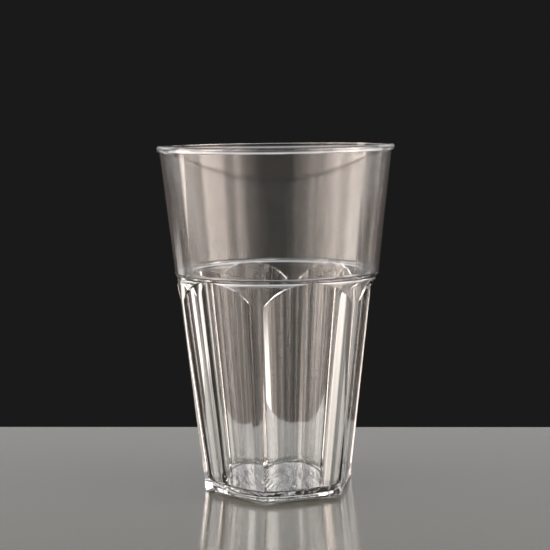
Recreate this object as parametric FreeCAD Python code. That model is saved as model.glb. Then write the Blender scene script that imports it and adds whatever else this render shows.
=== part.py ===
import FreeCAD, Part
import math
import os

# Clear injection-moulded tumbler: a round upper wall stands on a six-sided lower body, whose flat
# facets end at the top in arches. Origin at the middle of the face it stands on, +Z up, a corner
# of the six-sided body towards -Y. Sizes in millimetres and degrees.

# Overall
total_height = 127.0
rim_outer_radius = 43.65

# Round upper wall
step_height = 80.0
upper_wall_bottom_radius = 37.8
upper_wall_top_radius = 42.7
upper_wall_thickness = 1.15

# Rim bead
bead_height = 2.3
bead_underside_height = 1.0
bead_overhang_inside = 0.2
bead_roundness = 0.3

# Six-sided lower body
facet_count = 6
foot_height = 3.5
foot_apothem = 25.3
facet_top_apothem = 33.65

# Round blank that the facets are cut into: it shows between the arches and as a narrow band
# down each corner
blank_foot_radius = 29.35
shoulder_below_step = 6.5
shoulder_radius = 36.9
shoulder_rounding = 40.0

# Flare of the blank just under the step
flare_height = 1.65
flare_start_radius = 36.92
step_overhang = 0.05

# Arched top of each facet: half an ellipse
arch_half_width = 18.65
arch_rise = 15.0
arch_gap_to_step = 0.3

# Inside
floor_height = 2.6
floor_edge_radius = 1.5
lower_wall_at_floor = 2.45
lower_wall_at_ledge = 2.1
inner_ledge_above_step = 0.7
ledge_edge_rounding = 0.4

# Underside
recess_depth = 0.8
recess_radius = 21.0
foot_edge_rounding = 0.8

# Derived values
facet_slope = (facet_top_apothem - foot_apothem) / (step_height - foot_height)
shoulder_height = step_height - shoulder_below_step
flare_start_height = step_height - flare_height
flare_top_radius = upper_wall_bottom_radius - step_overhang
inner_ledge_height = step_height + inner_ledge_above_step
bead_base_height = total_height - bead_height
upper_wall_slope = (upper_wall_top_radius - upper_wall_bottom_radius) / (bead_base_height - step_height)
sector = 360.0 / facet_count
cutter_reach = rim_outer_radius + 10.0
clear_of_body = 1.0


def facet_apothem(height):
    """Distance from the axis to the middle of a facet."""
    return foot_apothem + facet_slope * (height - foot_height)


def upper_outer_radius(height):
    """Outer radius of the round upper wall."""
    return upper_wall_bottom_radius + upper_wall_slope * (height - step_height)


def section_point(radius, height):
    """A point of a half section, in the XZ plane."""
    return FreeCAD.Vector(radius, 0.0, height)


def rounding_arc(before, corner, after, rounding):
    """Arc that rounds a corner of a section, with the points where it starts and ends."""
    way_in = (before - corner).normalize()
    way_out = (after - corner).normalize()
    half_angle = way_in.getAngle(way_out) / 2.0
    setback = rounding / math.tan(half_angle)
    start = corner + way_in * setback
    end = corner + way_out * setback
    bisector = (way_in + way_out).normalize()
    middle = corner + bisector * (rounding / math.sin(half_angle) - rounding)
    return start, end, Part.Arc(start, middle, end).toShape()


def revolve_section(corners):
    """Solid of revolution about Z from a closed half section of (radius, height, rounding)."""
    points = [section_point(radius, height) for radius, height, rounding in corners]
    edges = []
    stops = []
    for index, corner in enumerate(corners):
        point = points[index]
        rounding = corner[2]
        if rounding > 0.0:
            after = points[(index + 1) % len(points)]
            start, end, arc = rounding_arc(points[index - 1], point, after, rounding)
            edges.append(arc)
            stops.append((start, end))
        else:
            stops.append((point, point))
    for index, stop in enumerate(stops):
        next_stop = stops[(index + 1) % len(stops)]
        edges.append(Part.LineSegment(stop[1], next_stop[0]).toShape())
    face = Part.Face(Part.Wire(Part.__sortEdges__(edges)))
    return face.revolve(FreeCAD.Vector(0, 0, 0), FreeCAD.Vector(0, 0, 1), 360.0)


def make_outer_form():
    """Round outer form: foot, tapering blank, flare, upper wall and rim bead, solid inside."""
    bead_bottom_radius = upper_outer_radius(bead_base_height)
    bead_inner_radius = bead_bottom_radius - upper_wall_thickness - bead_overhang_inside
    bead_top_rounding = bead_roundness * (rim_outer_radius - bead_inner_radius)
    return revolve_section([
        (0.0, 0.0, 0.0),
        (blank_foot_radius, 0.0, 0.0),
        (blank_foot_radius, foot_height, 0.0),
        (shoulder_radius, shoulder_height, shoulder_rounding),
        (flare_start_radius, flare_start_height, 0.0),
        (flare_top_radius, step_height, 0.0),
        (upper_wall_bottom_radius, step_height, 0.0),
        (bead_bottom_radius, bead_base_height, 0.0),
        (rim_outer_radius, bead_base_height + bead_underside_height, 0.0),
        (rim_outer_radius, total_height, bead_top_rounding),
        (bead_inner_radius, total_height, 0.0),
        (0.0, total_height, 0.0),
    ])


def make_facet_cutter():
    """What comes off one side, towards +X: all that lies outside the facet, below its arch."""
    crown_height = step_height - arch_gap_to_step
    spring_height = crown_height - arch_rise
    outside = Part.Face(Part.makePolygon([
        FreeCAD.Vector(foot_apothem, -cutter_reach, -clear_of_body),
        FreeCAD.Vector(foot_apothem, -cutter_reach, foot_height),
        FreeCAD.Vector(facet_apothem(total_height), -cutter_reach, total_height),
        FreeCAD.Vector(2.0 * cutter_reach, -cutter_reach, total_height),
        FreeCAD.Vector(2.0 * cutter_reach, -cutter_reach, -clear_of_body),
        FreeCAD.Vector(foot_apothem, -cutter_reach, -clear_of_body),
    ])).extrude(FreeCAD.Vector(0, 2.0 * cutter_reach, 0))
    left_foot = FreeCAD.Vector(0, -arch_half_width, -clear_of_body)
    right_foot = FreeCAD.Vector(0, arch_half_width, -clear_of_body)
    left_spring = FreeCAD.Vector(0, -arch_half_width, spring_height)
    right_spring = FreeCAD.Vector(0, arch_half_width, spring_height)
    crown = FreeCAD.Vector(0, 0, crown_height)
    middle = FreeCAD.Vector(0, 0, spring_height)
    if arch_half_width >= arch_rise:
        ellipse = Part.Ellipse(right_spring, crown, middle)
    else:
        ellipse = Part.Ellipse(crown, left_spring, middle)
    arch = Part.ArcOfEllipse(ellipse, ellipse.parameter(right_spring), ellipse.parameter(left_spring))
    window = Part.Face(Part.Wire([
        Part.LineSegment(left_spring, left_foot).toShape(),
        Part.LineSegment(left_foot, right_foot).toShape(),
        Part.LineSegment(right_foot, right_spring).toShape(),
        arch.toShape(),
    ])).extrude(FreeCAD.Vector(2.0 * cutter_reach, 0, 0))
    return outside.common(window)


def make_cavity():
    """Round inside: lower part, ledge and upper part, open at the rim."""
    floor_radius = facet_apothem(floor_height) - lower_wall_at_floor
    ledge_inner_radius = facet_apothem(step_height) - lower_wall_at_ledge
    ledge_outer_radius = upper_outer_radius(inner_ledge_height) - upper_wall_thickness
    rim_radius = upper_outer_radius(bead_base_height) - upper_wall_thickness
    mouth_radius = rim_radius - bead_overhang_inside
    above_rim = total_height + clear_of_body
    return revolve_section([
        (0.0, floor_height, 0.0),
        (floor_radius, floor_height, floor_edge_radius),
        (ledge_inner_radius, inner_ledge_height, ledge_edge_rounding),
        (ledge_outer_radius, inner_ledge_height, 0.0),
        (rim_radius, bead_base_height, 0.0),
        (mouth_radius, total_height, 0.0),
        (mouth_radius, above_rim, 0.0),
        (0.0, above_rim, 0.0),
    ])


def make_recess():
    """Shallow round recess under the foot, which leaves a flat ring to stand on."""
    return revolve_section([
        (0.0, -clear_of_body, 0.0),
        (recess_radius, -clear_of_body, 0.0),
        (recess_radius, recess_depth, 0.0),
        (0.0, recess_depth, 0.0),
    ])


def make_tumbler():
    """The whole tumbler, one moulded piece."""
    body = make_outer_form()
    cutter = make_facet_cutter()
    for index in range(facet_count):
        side = cutter.copy()
        side.rotate(FreeCAD.Vector(0, 0, 0), FreeCAD.Vector(0, 0, 1), -90.0 + sector * (index + 0.5))
        body = body.cut(side)
    foot_edges = [edge for edge in body.Edges if edge.BoundBox.ZMax < foot_edge_rounding / 2.0]
    body = body.makeFillet(foot_edge_rounding, foot_edges)
    body = body.cut(make_cavity())
    body = body.cut(make_recess())
    return body.removeSplitter()


os.makedirs("parts", exist_ok=True)
tumbler = make_tumbler()
tumbler.exportStep("parts/tumbler.step")
print("tumbler volume", round(tumbler.Volume), "mm3, solids", len(tumbler.Solids), "valid", tumbler.isValid())
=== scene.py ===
import math

import bmesh
import bpy
from mathutils import Matrix, Vector


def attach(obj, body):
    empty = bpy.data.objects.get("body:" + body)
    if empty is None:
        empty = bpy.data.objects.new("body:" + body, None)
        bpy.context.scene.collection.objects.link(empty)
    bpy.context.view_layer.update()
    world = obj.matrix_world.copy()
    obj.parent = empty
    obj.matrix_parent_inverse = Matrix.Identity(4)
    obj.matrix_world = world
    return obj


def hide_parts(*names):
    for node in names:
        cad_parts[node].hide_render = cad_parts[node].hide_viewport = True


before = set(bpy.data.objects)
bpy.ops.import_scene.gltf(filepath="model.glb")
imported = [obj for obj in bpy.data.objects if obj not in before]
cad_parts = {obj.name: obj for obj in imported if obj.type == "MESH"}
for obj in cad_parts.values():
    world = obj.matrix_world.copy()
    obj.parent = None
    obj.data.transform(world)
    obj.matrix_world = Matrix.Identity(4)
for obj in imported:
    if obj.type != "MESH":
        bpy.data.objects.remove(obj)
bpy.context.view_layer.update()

MM = 0.001

# Sizes of the tumbler, in millimetres
TOTAL_HEIGHT = 127.0
STEP_HEIGHT = 80.0
RIM_RADIUS = 43.65
UPPER_BOTTOM_RADIUS = 37.8
UPPER_TOP_RADIUS = 42.7
UPPER_THICKNESS = 1.15
BEAD_HEIGHT = 2.3
BEAD_UNDERSIDE = 0.3
BEAD_OVERHANG = 0.2
BEAD_SIDE_ROUNDING = 0.2
BEAD_TOP_ROUNDING_SHARE = 0.45
FACET_COUNT = 6
FOOT_HEIGHT = 3.5
FOOT_APOTHEM = 25.3
FACET_TOP_APOTHEM = 33.65
BLANK_FOOT_RADIUS = 29.35
SHOULDER_START = (36.9, 73.5)
SHOULDER_ROUNDING = 40.0
FLARE_START = (36.92, 78.35)
FLARE_TOP_RADIUS = 37.75
FLARE_ROUNDING = 6.0
ARCH_HALF_WIDTH = 18.65
ARCH_RISE = 15.0
ARCH_GAP = 0.3
FLOOR_HEIGHT = 2.6
FLOOR_EDGE_RADIUS = 1.5
LOWER_WALL_AT_FLOOR = 2.45
LOWER_WALL_AT_LEDGE = 2.1
LEDGE_HEIGHT = 80.7
LEDGE_INNER_ROUNDING = 0.4
LEDGE_OUTER_ROUNDING = 0.5
RECESS_DEPTH = 0.8
RECESS_RADIUS = 21.0
RECESS_ROUNDING = 0.5
FOOT_ROUNDING = 0.8

# Flow ripples of the inner floor and the underside: width, length and depth, in millimetres
FLOOR_RIPPLE = (2.0, 14.0, 0.35)
UNDERSIDE_RIPPLE = (2.0, 14.0, 0.8)
# Flat margin between the ripples and the rounded edge around them, in millimetres
FLOOR_RIPPLE_MARGIN = 0.5
UNDERSIDE_RIPPLE_MARGIN = 1.0
# The way the ripples run, in degrees about the axis
RIPPLE_TURN = 10.8

# Surface of the plastic: width, length and depth of its waviness and size of its dull patches, in
# millimetres
WAVE_WIDTH = 7.0
WAVE_LENGTH = 30.0
WAVE_DEPTH = 0.03
DULL_PATCH = 9.0
# Noise levels at which the plastic is clearest and dullest, and its roughness there
DULL_NOISE = (0.35, 0.7)
PLASTIC_ROUGHNESS = (0.025, 0.07)
PLASTIC_IOR = 1.57

# Fineness of the mesh: sides of a turned ring, degrees between the points of an arc, points round the
# arch's ellipse, rings of a rippled disc and rows of the foot's rounded edge
SEGMENTS = 240
ARC_STEP = 5.0
ARCH_POINTS = 192
RIPPLE_RINGS = 50
FOOT_ROUNDING_ROWS = 4
# Edges that turn by more than this, in degrees, are shown sharp
SHARP_ANGLE = 6.0

# How far a cutter reaches below the foot, in millimetres
CUTTER_BELOW = 1.0
# How near, in metres, a point has to be to a plane to count as on it
ON_PLANE = 1e-6

# Sizes worked out from the ones above
FACET_SLOPE = (FACET_TOP_APOTHEM - FOOT_APOTHEM) / (STEP_HEIGHT - FOOT_HEIGHT)
BEAD_BASE = TOTAL_HEIGHT - BEAD_HEIGHT
UPPER_SLOPE = (UPPER_TOP_RADIUS - UPPER_BOTTOM_RADIUS) / (BEAD_BASE - STEP_HEIGHT)
SECTOR = 360.0 / FACET_COUNT
# Edges of the standing face beyond this radius are its outer ones
FOOT_EDGE_BEYOND = (FOOT_APOTHEM + RECESS_RADIUS) / 2.0

# Camera, in the tumbler's own frame
CAMERA_TURN = 10.8
CAMERA_DISTANCE = 513.7
CAMERA_HEIGHT = 137.2
CAMERA_PITCH = 6.477
CAMERA_PAN = -0.084
CAMERA_ROLL = 0.703
SENSOR_WIDTH = 36.0
FOCAL_LENGTH = 91.13

# Colours of the light: the dark backdrop, the room's walls, the strip above the backdrop, the softbox
# overhead and the panels
BACKDROP_COLOUR = "1A1A1A"
WALL_COLOUR = "FFEDE2"
STRIP_COLOUR = "F3F2F6"
TOP_COLOUR = "F6F8F2"
PANEL_COLOUR = "FFF8F0"

# Light of the room's walls by the angle from the camera's side, in degrees, positive to its right
WALL_LIGHT = [
    (-166, 0.0), (-160, 0.015), (-122, 0.02), (-112, 0.05), (-108, 0.85), (-94, 0.9),
    (-86, 0.52), (-80, 0.55), (-73, 0.85), (-60, 0.65), (-52, 0.34), (-46, 0.26),
    (-41, 0.36), (-34, 0.25), (-21, 0.12), (-17, 0.04), (16, 0.04), (24, 0.09),
    (32, 0.17), (44, 0.6), (49, 0.32), (55, 0.34), (63, 0.85), (74, 0.85),
    (83, 0.98), (87, 0.9), (89, 0.4), (100, 0.33), (106, 0.2), (112, 0.03),
    (160, 0.01), (166, 0.0),
]
WALL_STRENGTH = 6.0
# Where the walls' light fades out, in degrees up
WALL_TOP = (30.0, 55.0)

# Bright panels: azimuth from and to, elevation from and to, in degrees, and strength
PANELS = [
    (-149, -132, -40, -11.0, 1.3),
    (72, 108, 15, 32, 3.0),
    (-160, -128, 14, 29, 1.6),
    (128, 160, 14, 29, 1.6),
]
# How far a panel's soft edge reaches to each side, in degrees
PANEL_EDGE = 1.5

# Bright strip of the room above the dark backdrop: where it starts and ends, in degrees up
STRIP_START = (1.0, 2.6)
STRIP_END = (36.0, 50.0)
STRIP_STRENGTH = 0.76
# How much higher the backdrop stands for the camera's direct view, in degrees
STRIP_SCREEN = 3.8
# Dim gap in the strip, in degrees up, and the share of light left there
STRIP_GAP = (5.0, 7.8)
STRIP_GAP_LEVEL = 0.15
# Where the strip fades in round the sides, as the part of a direction that points to the back
STRIP_BACK = (-0.2, 0.5)

# Softbox overhead: where its light fades in, in degrees up
TOP_START = (46.0, 62.0)
TOP_STRENGTH = 1.3

# Table top: its size, the distance from the camera to its back edge and the gap under the tumbler, in
# millimetres, and the turn of the back edge, in degrees
TABLE_WIDTH = 4000.0
TABLE_DEPTH = 2000.0
TABLE_BACK_DISTANCE = 608.6
TABLE_GAP = 0.1
TABLE_TURN = -3.2
TABLE_COLOUR = "51534D"
TABLE_ROUGHNESS = 0.12


def facet_apothem(height):
    """Distance from the axis to the middle of a facet, in millimetres."""
    return FOOT_APOTHEM + FACET_SLOPE * (height - FOOT_HEIGHT)


def upper_radius(height):
    """Outer radius of the round upper wall, in millimetres."""
    return UPPER_BOTTOM_RADIUS + UPPER_SLOPE * (height - STEP_HEIGHT)


def linear_colour(hex_code, alpha=1.0):
    """An sRGB hex colour as the linear values that sockets take."""
    values = [int(hex_code[start:start + 2], 16) / 255.0 for start in (0, 2, 4)]
    linear = [v / 12.92 if v <= 0.04045 else ((v + 0.055) / 1.055) ** 2.4 for v in values]
    return (*linear, alpha)


def section_points(corners):
    """Points of a half section from (radius, height, rounding) corners, with each rounding as an arc."""
    points = []
    for index, (radius, height, rounding) in enumerate(corners):
        corner = Vector((radius, height))
        if rounding <= 0.0:
            points.append(corner)
            continue
        before = Vector(corners[index - 1][:2])
        after = Vector(corners[index + 1][:2])
        way_in = (before - corner).normalized()
        way_out = (after - corner).normalized()
        half_angle = way_in.angle(way_out) / 2.0
        start = corner + way_in * (rounding / math.tan(half_angle))
        centre = corner + (way_in + way_out).normalized() * (rounding / math.sin(half_angle))
        sweep = math.pi - 2.0 * half_angle
        steps = max(2, math.ceil(math.degrees(sweep) / ARC_STEP))
        direction = -1.0 if way_in.cross(way_out) > 0.0 else 1.0
        arm = start - centre
        for step in range(steps + 1):
            turn = direction * sweep * step / steps
            points.append(centre + Matrix.Rotation(turn, 2) @ arm)
    return points


def select_none():
    """Leaves nothing selected, in object mode."""
    if bpy.context.object and bpy.context.object.mode != "OBJECT":
        bpy.ops.object.mode_set(mode="OBJECT")
    bpy.ops.object.select_all(action="DESELECT")


def turned_solid(name, corners):
    """Closed solid of revolution: a disc is extruded and widened from one ring of the section to the next."""
    points = section_points(corners)
    select_none()
    first = points[0]
    bpy.ops.mesh.primitive_circle_add(vertices=SEGMENTS, radius=first.x * MM, fill_type="NGON",
                                      location=(0.0, 0.0, first.y * MM))
    piece = bpy.context.object
    piece.name = name
    bpy.ops.object.transform_apply(location=True, rotation=True, scale=True)
    bpy.ops.object.mode_set(mode="EDIT")
    bpy.ops.mesh.select_all(action="SELECT")
    for previous, point in zip(points, points[1:]):
        widen = point.x / previous.x
        rise = (point.y - previous.y) * MM
        bpy.ops.mesh.extrude_region_move(TRANSFORM_OT_translate={"value": (0.0, 0.0, rise)})
        bpy.ops.transform.resize(value=(widen, widen, 1.0), center_override=(0.0, 0.0, point.y * MM))
    bpy.ops.mesh.select_all(action="SELECT")
    bpy.ops.mesh.normals_make_consistent(inside=False)
    bpy.ops.object.mode_set(mode="OBJECT")
    return piece


def facet_cutter():
    """What a facet takes off the round form, towards +X: an arched window, cut back to the facet's plane."""
    crown = STEP_HEIGHT - ARCH_GAP
    spring = crown - ARCH_RISE
    reach = 2.0 * RIM_RADIUS
    facing_out = (math.pi / 2, 0.0, math.pi / 2)
    select_none()
    bpy.ops.mesh.primitive_circle_add(vertices=ARCH_POINTS, radius=1.0, fill_type="NGON",
                                      location=(0.0, 0.0, spring * MM), rotation=facing_out)
    cutter = bpy.context.object
    cutter.name = "facet_cutter"
    cutter.scale = (ARCH_HALF_WIDTH * MM, ARCH_RISE * MM, 1.0)
    bpy.ops.object.transform_apply(location=True, rotation=True, scale=True)
    bpy.ops.object.mode_set(mode="EDIT")
    bpy.ops.mesh.select_all(action="SELECT")
    bpy.ops.mesh.bisect(plane_co=(0.0, 0.0, spring * MM), plane_no=(0.0, 0.0, 1.0), clear_inner=True)
    bpy.ops.mesh.select_all(action="DESELECT")
    mesh = bmesh.from_edit_mesh(cutter.data)
    for edge in mesh.edges:
        edge.select = all(abs(vertex.co.z - spring * MM) < ON_PLANE for vertex in edge.verts)
    bmesh.update_edit_mesh(cutter.data)
    drop = (-CUTTER_BELOW - spring) * MM
    bpy.ops.mesh.extrude_region_move(TRANSFORM_OT_translate={"value": (0.0, 0.0, drop)})
    bpy.ops.mesh.select_all(action="SELECT")
    bpy.ops.mesh.dissolve_limited(angle_limit=math.radians(0.01))
    bpy.ops.mesh.select_all(action="SELECT")
    bpy.ops.mesh.extrude_region_move(TRANSFORM_OT_translate={"value": (reach * MM, 0.0, 0.0)})
    tilt = Vector((1.0, 0.0, -FACET_SLOPE)).normalized()
    bpy.ops.mesh.select_all(action="SELECT")
    bpy.ops.mesh.bisect(plane_co=(FOOT_APOTHEM * MM, 0.0, FOOT_HEIGHT * MM), plane_no=tilt,
                        use_fill=True, clear_inner=True)
    bpy.ops.mesh.select_all(action="SELECT")
    bpy.ops.mesh.bisect(plane_co=(FOOT_APOTHEM * MM, 0.0, 0.0), plane_no=(1.0, 0.0, 0.0),
                        use_fill=True, clear_inner=True)
    bpy.ops.mesh.select_all(action="SELECT")
    bpy.ops.mesh.normals_make_consistent(inside=False)
    bpy.ops.object.mode_set(mode="OBJECT")
    return cutter


def cut(piece, cutter, operation="DIFFERENCE"):
    """Applies a boolean with the cutter and removes the cutter."""
    select_none()
    bpy.context.view_layer.objects.active = piece
    piece.select_set(True)
    boolean = piece.modifiers.new("cut", "BOOLEAN")
    boolean.operation = operation
    boolean.solver = "EXACT"
    boolean.object = cutter
    bpy.ops.object.modifier_apply(modifier=boolean.name)
    bpy.data.objects.remove(cutter)


def turned_copy(piece, degrees):
    """A copy with its own mesh, turned about the tumbler's axis."""
    copy = piece.copy()
    copy.data = piece.data.copy()
    bpy.context.collection.objects.link(copy)
    copy.data.transform(Matrix.Rotation(math.radians(degrees), 4, "Z"))
    return copy


def disc_rings(radius, height):
    """Rings of a flat disc, from its edge inwards, close enough together to carry ripples."""
    return [(radius * step / RIPPLE_RINGS, height, 0.0) for step in range(RIPPLE_RINGS, 0, -1)]


def ripple_disc(piece, radius, height, ripple):
    """Flow ripples, of a width, length and depth in millimetres, on the flat disc of a piece at a height."""
    width, length, depth = ripple
    inside = [v.index for v in piece.data.vertices
              if abs(v.co.z - height * MM) < ON_PLANE and v.co.xy.length < radius * MM]
    disc = piece.vertex_groups.new(name="disc")
    disc.add(inside, 1.0, "REPLACE")
    pattern = bpy.data.textures.new("ripple", "CLOUDS")
    pattern.noise_scale = width * MM
    pattern.noise_depth = 1
    select_none()
    bpy.ops.object.empty_add(location=(0.0, 0.0, 0.0), rotation=(0.0, 0.0, math.radians(RIPPLE_TURN)))
    flow = bpy.context.object
    flow.scale = (1.0, length / width, 1.0)
    bpy.context.view_layer.update()
    select_none()
    bpy.context.view_layer.objects.active = piece
    displace = piece.modifiers.new("ripple", "DISPLACE")
    displace.texture = pattern
    displace.texture_coords = "OBJECT"
    displace.texture_coords_object = flow
    displace.vertex_group = disc.name
    displace.direction = "Z"
    displace.strength = depth * MM
    bpy.ops.object.modifier_apply(modifier=displace.name)
    bpy.data.objects.remove(flow)


def recess_cutter():
    """What the recess takes off the underside: a shallow round plug with a rippled top."""
    flat_radius = RECESS_RADIUS - RECESS_ROUNDING - UNDERSIDE_RIPPLE_MARGIN
    cutter = turned_solid("recess_cutter", [
        (RECESS_RADIUS, -CUTTER_BELOW, 0.0),
        (RECESS_RADIUS, RECESS_DEPTH, RECESS_ROUNDING),
        *disc_rings(flat_radius, RECESS_DEPTH),
    ])
    ripple_disc(cutter, flat_radius, RECESS_DEPTH, UNDERSIDE_RIPPLE)
    return cutter


def make_tumbler():
    """The tumbler's body: a turned form with its cavity, and six arched facets cut into it."""
    bead_radius = upper_radius(BEAD_BASE)
    bead_inner = bead_radius - UPPER_THICKNESS - BEAD_OVERHANG
    bead_rounding = BEAD_TOP_ROUNDING_SHARE * (RIM_RADIUS - bead_inner)
    floor_radius = facet_apothem(FLOOR_HEIGHT) - LOWER_WALL_AT_FLOOR
    flat_radius = floor_radius - FLOOR_EDGE_RADIUS - FLOOR_RIPPLE_MARGIN
    body = turned_solid("tumbler_body", [
        (BLANK_FOOT_RADIUS, 0.0, 0.0),
        (BLANK_FOOT_RADIUS, FOOT_HEIGHT, 0.0),
        (*SHOULDER_START, SHOULDER_ROUNDING),
        (*FLARE_START, FLARE_ROUNDING),
        (FLARE_TOP_RADIUS, STEP_HEIGHT, 0.0),
        (UPPER_BOTTOM_RADIUS, STEP_HEIGHT, 0.0),
        (bead_radius, BEAD_BASE, 0.0),
        (RIM_RADIUS, BEAD_BASE + BEAD_UNDERSIDE, BEAD_SIDE_ROUNDING),
        (RIM_RADIUS, TOTAL_HEIGHT, bead_rounding),
        (bead_inner, TOTAL_HEIGHT, 0.0),
        (bead_radius - UPPER_THICKNESS, BEAD_BASE, 0.0),
        (upper_radius(LEDGE_HEIGHT) - UPPER_THICKNESS, LEDGE_HEIGHT, LEDGE_OUTER_ROUNDING),
        (facet_apothem(STEP_HEIGHT) - LOWER_WALL_AT_LEDGE, LEDGE_HEIGHT, LEDGE_INNER_ROUNDING),
        (floor_radius, FLOOR_HEIGHT, FLOOR_EDGE_RADIUS),
        *disc_rings(flat_radius, FLOOR_HEIGHT),
    ])
    ripple_disc(body, flat_radius, FLOOR_HEIGHT, FLOOR_RIPPLE)
    cutter = facet_cutter()
    for index in range(FACET_COUNT):
        cut(body, turned_copy(cutter, -90.0 + SECTOR * (index + 0.5)))
    bpy.data.objects.remove(cutter)
    cut(body, recess_cutter())
    select_none()
    bpy.context.view_layer.objects.active = body
    body.select_set(True)
    bpy.ops.object.mode_set(mode="EDIT")
    bpy.ops.mesh.select_all(action="DESELECT")
    mesh = bmesh.from_edit_mesh(body.data)
    for edge in mesh.edges:
        edge.select = all(v.co.z < ON_PLANE and v.co.xy.length > FOOT_EDGE_BEYOND * MM
                          for v in edge.verts)
    bmesh.update_edit_mesh(body.data)
    bpy.ops.mesh.bevel(offset=FOOT_ROUNDING * MM, segments=FOOT_ROUNDING_ROWS, affect="EDGES")
    bpy.ops.object.mode_set(mode="OBJECT")
    bpy.ops.object.shade_smooth_by_angle(angle=math.radians(SHARP_ANGLE))
    return body


def add_node(tree, kind, settings=None, links=None):
    """A node with its settings, and its inputs set to a value or linked to another node's output."""
    node = tree.nodes.new(kind)
    for name, value in (settings or {}).items():
        setattr(node, name, value)
    for name, value in (links or {}).items():
        if isinstance(value, bpy.types.NodeSocket):
            tree.links.new(value, node.inputs[name])
        else:
            node.inputs[name].default_value = value
    return node


def clear_plastic():
    """Clear SAN plastic from a polished mould: water-clear, with sharp reflections that waver a little
    where the wall shrank unevenly, and with patches that handling has made faintly dull."""
    material = bpy.data.materials.new("clear_moulded_plastic")
    material.use_nodes = True
    tree = material.node_tree
    shader = tree.nodes["Principled BSDF"]
    shader.inputs["Base Color"].default_value = linear_colour("FCFDFD")
    shader.inputs["IOR"].default_value = PLASTIC_IOR
    shader.inputs["Transmission Weight"].default_value = 1.0
    place = add_node(tree, "ShaderNodeTexCoord")
    # Waviness, longer along the wall than across it: reflections show soft upright streaks
    upright = add_node(tree, "ShaderNodeMapping", links={
        "Vector": place.outputs["Object"], "Scale": (1.0, 1.0, WAVE_WIDTH / WAVE_LENGTH)})
    waves = add_node(tree, "ShaderNodeTexNoise", links={
        "Vector": upright.outputs["Vector"], "Scale": 1.0 / (WAVE_WIDTH * MM), "Detail": 1.0})
    waviness = add_node(tree, "ShaderNodeBump", links={
        "Height": waves.outputs["Fac"], "Strength": 1.0, "Distance": WAVE_DEPTH * MM})
    # Dullness from handling: reflections lose a little of their edge in patches
    patches = add_node(tree, "ShaderNodeTexNoise", links={
        "Vector": place.outputs["Object"], "Scale": 1.0 / (DULL_PATCH * MM), "Detail": 3.0})
    dullness = add_node(tree, "ShaderNodeMapRange", links={
        "Value": patches.outputs["Fac"], "From Min": DULL_NOISE[0], "From Max": DULL_NOISE[1],
        "To Min": PLASTIC_ROUGHNESS[0], "To Max": PLASTIC_ROUGHNESS[1]})
    tree.links.new(waviness.outputs["Normal"], shader.inputs["Normal"])
    tree.links.new(dullness.outputs["Result"], shader.inputs["Roughness"])
    return material


def make_table():
    """The table top: a plain board of satin laminate with a straight back edge."""
    turn = math.radians(CAMERA_TURN)
    camera_spot = Vector((CAMERA_DISTANCE * math.sin(turn), -CAMERA_DISTANCE * math.cos(turn), 0.0)) * MM
    forward = Vector((-math.sin(turn), math.cos(turn), 0.0))
    edge_point = camera_spot + forward * TABLE_BACK_DISTANCE * MM
    select_none()
    bpy.ops.mesh.primitive_plane_add(size=1.0)
    table = bpy.context.object
    table.name = "table_top"
    table.data.transform(Matrix.Translation((0.0, -0.5, 0.0)))
    table.data.transform(Matrix.Diagonal((TABLE_WIDTH * MM, TABLE_DEPTH * MM, 1.0, 1.0)))
    table.data.transform(Matrix.Rotation(turn + math.radians(TABLE_TURN), 4, "Z"))
    table.data.transform(Matrix.Translation(edge_point - Vector((0.0, 0.0, TABLE_GAP * MM))))
    # Satin laminate: mid grey, with a soft mirror image of the tumbler's foot
    material = bpy.data.materials.new("satin_laminate")
    material.use_nodes = True
    shader = material.node_tree.nodes["Principled BSDF"]
    shader.inputs["Base Color"].default_value = linear_colour(TABLE_COLOUR)
    shader.inputs["Roughness"].default_value = TABLE_ROUGHNESS
    table.data.materials.append(material)
    return table


def make_camera():
    """The camera at the photograph's place and angle."""
    turn = math.radians(CAMERA_TURN)
    pitch = math.radians(CAMERA_PITCH)
    pan = math.radians(CAMERA_PAN)
    roll = math.radians(CAMERA_ROLL)
    forward = Vector((math.sin(pan) * math.cos(pitch), math.cos(pan) * math.cos(pitch), -math.sin(pitch)))
    right = Vector((math.cos(pan), -math.sin(pan), 0.0))
    up = right.cross(forward)
    rolled_right = right * math.cos(roll) - up * math.sin(roll)
    rolled_up = right * math.sin(roll) + up * math.cos(roll)
    axes = Matrix((rolled_right, rolled_up, -forward)).transposed().to_4x4()
    spot = Matrix.Translation(Vector((0.0, -CAMERA_DISTANCE, CAMERA_HEIGHT)) * MM)
    data = bpy.data.cameras.new("camera")
    data.sensor_width = SENSOR_WIDTH
    data.lens = FOCAL_LENGTH
    data.clip_start = 0.01
    camera = bpy.data.objects.new("camera", data)
    bpy.context.collection.objects.link(camera)
    camera.matrix_world = Matrix.Rotation(turn, 4, "Z") @ spot @ axes
    bpy.context.scene.camera = camera


def add_ramp(tree, share, levels):
    """Brightness by azimuth, from (degrees, level) stops. The share is 0 to 1 for -180 to 180 degrees."""
    ramp = add_node(tree, "ShaderNodeValToRGB", links={"Fac": share})
    stops = ramp.color_ramp.elements
    stops.remove(stops[1])
    first = levels[0]
    stops[0].position = (first[0] + 180.0) / 360.0
    stops[0].color = (first[1], first[1], first[1], 1.0)
    for degrees, level in levels[1:]:
        stops.new((degrees + 180.0) / 360.0).color = (level, level, level, 1.0)
    return ramp


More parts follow.
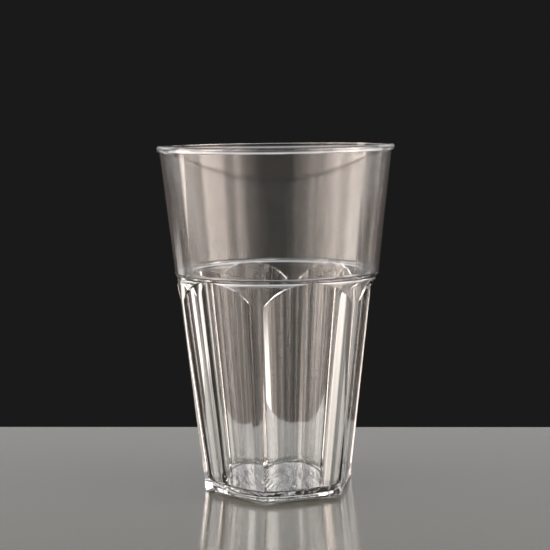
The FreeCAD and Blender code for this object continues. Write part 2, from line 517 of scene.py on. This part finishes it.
def add_panel(tree, azimuth, lift, panel):
    """Level of a bright panel with soft edges, from its azimuths, its elevations and its strength."""
    level = panel[4]
    for angle, start, end in ((azimuth, panel[0], panel[1]), (lift, panel[2], panel[3])):
        for edge, rises in ((start, True), (end, False)):
            limits = {"Value": angle, "From Min": math.radians(edge - PANEL_EDGE),
                      "From Max": math.radians(edge + PANEL_EDGE), "To Min": 0.0 if rises else level,
                      "To Max": level if rises else 0.0}
            soft = {"interpolation_type": "SMOOTHSTEP"}
            level = add_node(tree, "ShaderNodeMapRange", soft, limits).outputs[0]
    return level


def make_light():
    """A studio room: walls that are bright at the tumbler's sides, a dark backdrop with a bright strip
    above it, a softbox overhead and a few bright panels."""
    world = bpy.data.worlds.new("studio_room")
    bpy.context.scene.world = world
    world.use_nodes = True
    tree = world.node_tree
    place = add_node(tree, "ShaderNodeTexCoord")
    turned = add_node(tree, "ShaderNodeVectorRotate", {"rotation_type": "Z_AXIS"},
                      {"Vector": place.outputs["Generated"], "Angle": -math.radians(CAMERA_TURN)})
    axes = add_node(tree, "ShaderNodeSeparateXYZ", links={"Vector": turned.outputs["Vector"]})
    front = add_node(tree, "ShaderNodeMath", {"operation": "MULTIPLY"}, {0: axes.outputs["Y"], 1: -1.0})
    azimuth = add_node(tree, "ShaderNodeMath", {"operation": "ARCTAN2"}, {
        0: axes.outputs["X"], 1: front.outputs[0]})
    share = add_node(tree, "ShaderNodeMapRange", links={
        "Value": azimuth.outputs[0], "From Min": -math.pi, "From Max": math.pi})
    walls = add_ramp(tree, share.outputs["Result"], WALL_LIGHT)
    lift = add_node(tree, "ShaderNodeMath", {"operation": "ARCSINE"}, {0: axes.outputs["Z"]})
    low = add_node(tree, "ShaderNodeMapRange", {"interpolation_type": "SMOOTHSTEP"}, {
        "Value": lift.outputs[0], "From Min": math.radians(WALL_TOP[0]),
        "From Max": math.radians(WALL_TOP[1]), "To Min": WALL_STRENGTH, "To Max": 0.0})
    wall_level = add_node(tree, "ShaderNodeMath", {"operation": "MULTIPLY"}, {
        0: walls.outputs["Color"], 1: low.outputs["Result"]})
    back = add_node(tree, "ShaderNodeMapRange", {"interpolation_type": "SMOOTHSTEP"}, {
        "Value": axes.outputs["Y"], "From Min": STRIP_BACK[0], "From Max": STRIP_BACK[1],
        "To Min": 0.0, "To Max": STRIP_STRENGTH})
    rays = add_node(tree, "ShaderNodeLightPath")
    screened = add_node(tree, "ShaderNodeMath", {"operation": "MULTIPLY_ADD"}, {
        0: rays.outputs["Is Camera Ray"], 1: -math.radians(STRIP_SCREEN), 2: lift.outputs[0]})
    above = add_node(tree, "ShaderNodeMapRange", {"interpolation_type": "SMOOTHSTEP"}, {
        "Value": screened.outputs[0], "From Min": math.radians(STRIP_START[0]),
        "From Max": math.radians(STRIP_START[1]), "To Max": back.outputs["Result"]})
    gap_middle = math.radians(sum(STRIP_GAP) / 2.0)
    gap_half = math.radians(STRIP_GAP[1] - STRIP_GAP[0]) / 2.0
    gap = add_node(tree, "ShaderNodeMath", {"operation": "COMPARE"}, {
        0: lift.outputs[0], 1: gap_middle, 2: gap_half})
    kept = add_node(tree, "ShaderNodeMath", {"operation": "MULTIPLY_ADD"}, {
        0: gap.outputs[0], 1: STRIP_GAP_LEVEL - 1.0, 2: 1.0})
    lower = add_node(tree, "ShaderNodeMath", {"operation": "MULTIPLY"}, {
        0: above.outputs["Result"], 1: kept.outputs[0]})
    strip = add_node(tree, "ShaderNodeMapRange", {"interpolation_type": "SMOOTHSTEP"}, {
        "Value": lift.outputs[0], "From Min": math.radians(STRIP_END[0]),
        "From Max": math.radians(STRIP_END[1]), "To Min": lower.outputs[0], "To Max": 0.0})
    top = add_node(tree, "ShaderNodeMapRange", {"interpolation_type": "SMOOTHSTEP"}, {
        "Value": lift.outputs[0], "From Min": math.radians(TOP_START[0]),
        "From Max": math.radians(TOP_START[1]), "To Min": 0.0, "To Max": TOP_STRENGTH})
    parts = [(BACKDROP_COLOUR, 1.0), (WALL_COLOUR, wall_level.outputs[0]),
             (STRIP_COLOUR, strip.outputs["Result"]), (TOP_COLOUR, top.outputs["Result"])]
    parts += [(PANEL_COLOUR, add_panel(tree, azimuth.outputs[0], lift.outputs[0], panel)) for panel in PANELS]
    total = None
    for colour, level in parts:
        light = add_node(tree, "ShaderNodeBackground", links={
            "Color": linear_colour(colour), "Strength": level})
        if total is None:
            total = light.outputs[0]
        else:
            total = add_node(tree, "ShaderNodeAddShader", links={0: total, 1: light.outputs[0]}).outputs[0]
    tree.links.new(total, tree.nodes["World Output"].inputs["Surface"])


body = make_tumbler()
body.data.materials.append(clear_plastic())
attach(body, "root")
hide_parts("tumbler")
make_table()
make_light()
make_camera()
bpy.context.scene.view_settings.view_transform = "Standard"
